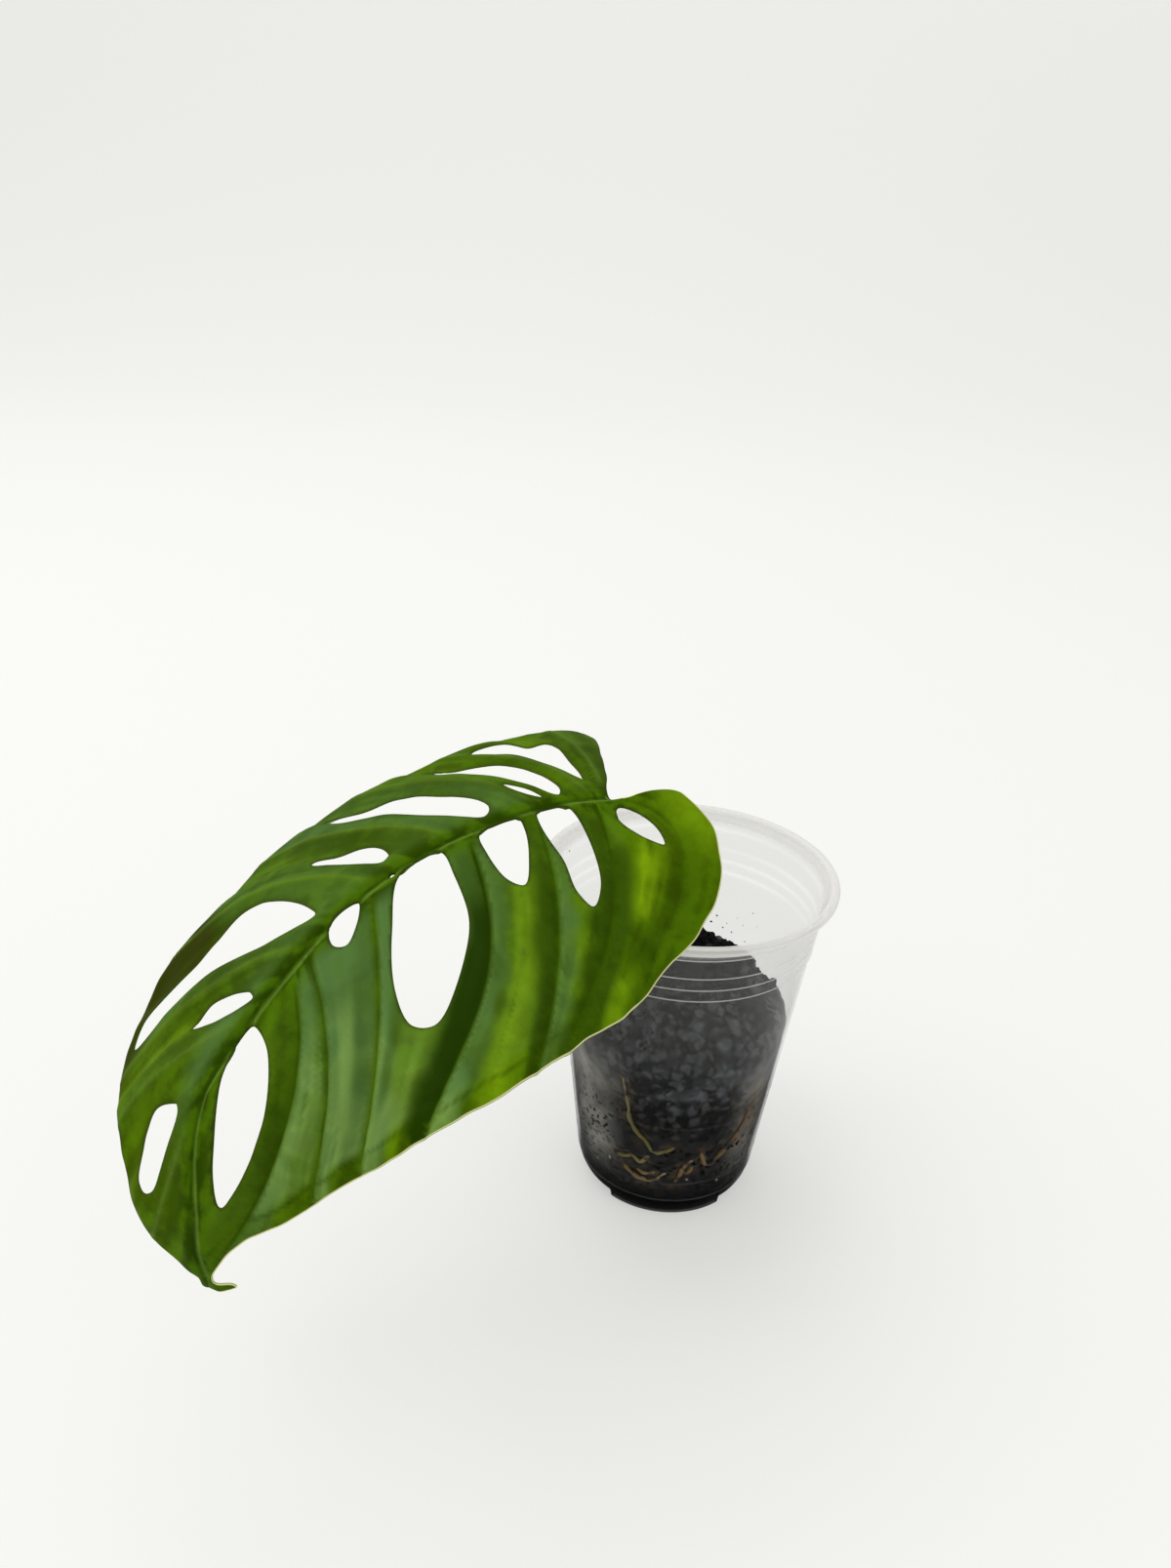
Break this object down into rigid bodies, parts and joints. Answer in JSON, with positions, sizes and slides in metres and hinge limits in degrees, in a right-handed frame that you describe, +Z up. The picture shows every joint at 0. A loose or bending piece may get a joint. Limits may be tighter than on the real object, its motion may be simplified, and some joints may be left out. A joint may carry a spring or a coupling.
{
  "type": "potted house plant",
  "caption": "Young climbing house plant in a clear cup: a large leaf with closed holes arches sideways on a slim stalk that rises from dark soil with roots showing.",
  "frame": {"origin": "middle of the whole plant's footprint, on the surface that the cup stands on", "axes": "+Z up; the leaf points along -X and -Y from the cup, and +X is the plant's longest side"},
  "size_m": [0.2066, 0.1914, 0.1747],
  "materials": {
    "clear_plastic": "clear, thin, slightly hazy",
    "potting_mix": "damp peat and bark, rough",
    "green_stalk": "smooth, satin, dark olive green",
    "green_blade": "leathery, satin, mottled mid green",
    "root_skin": "dull, fleshy, yellow to brown"
  },
  "bodies": {
    "root": {"cup": "clear_plastic", "soil": "potting_mix", "petiole": "green_stalk", "leaf_blade": "green_blade", "root_upper": "root_skin", "root_lower": "root_skin", "root_front": "root_skin", "root_right": "root_skin"}
  },
  "joints": []
}
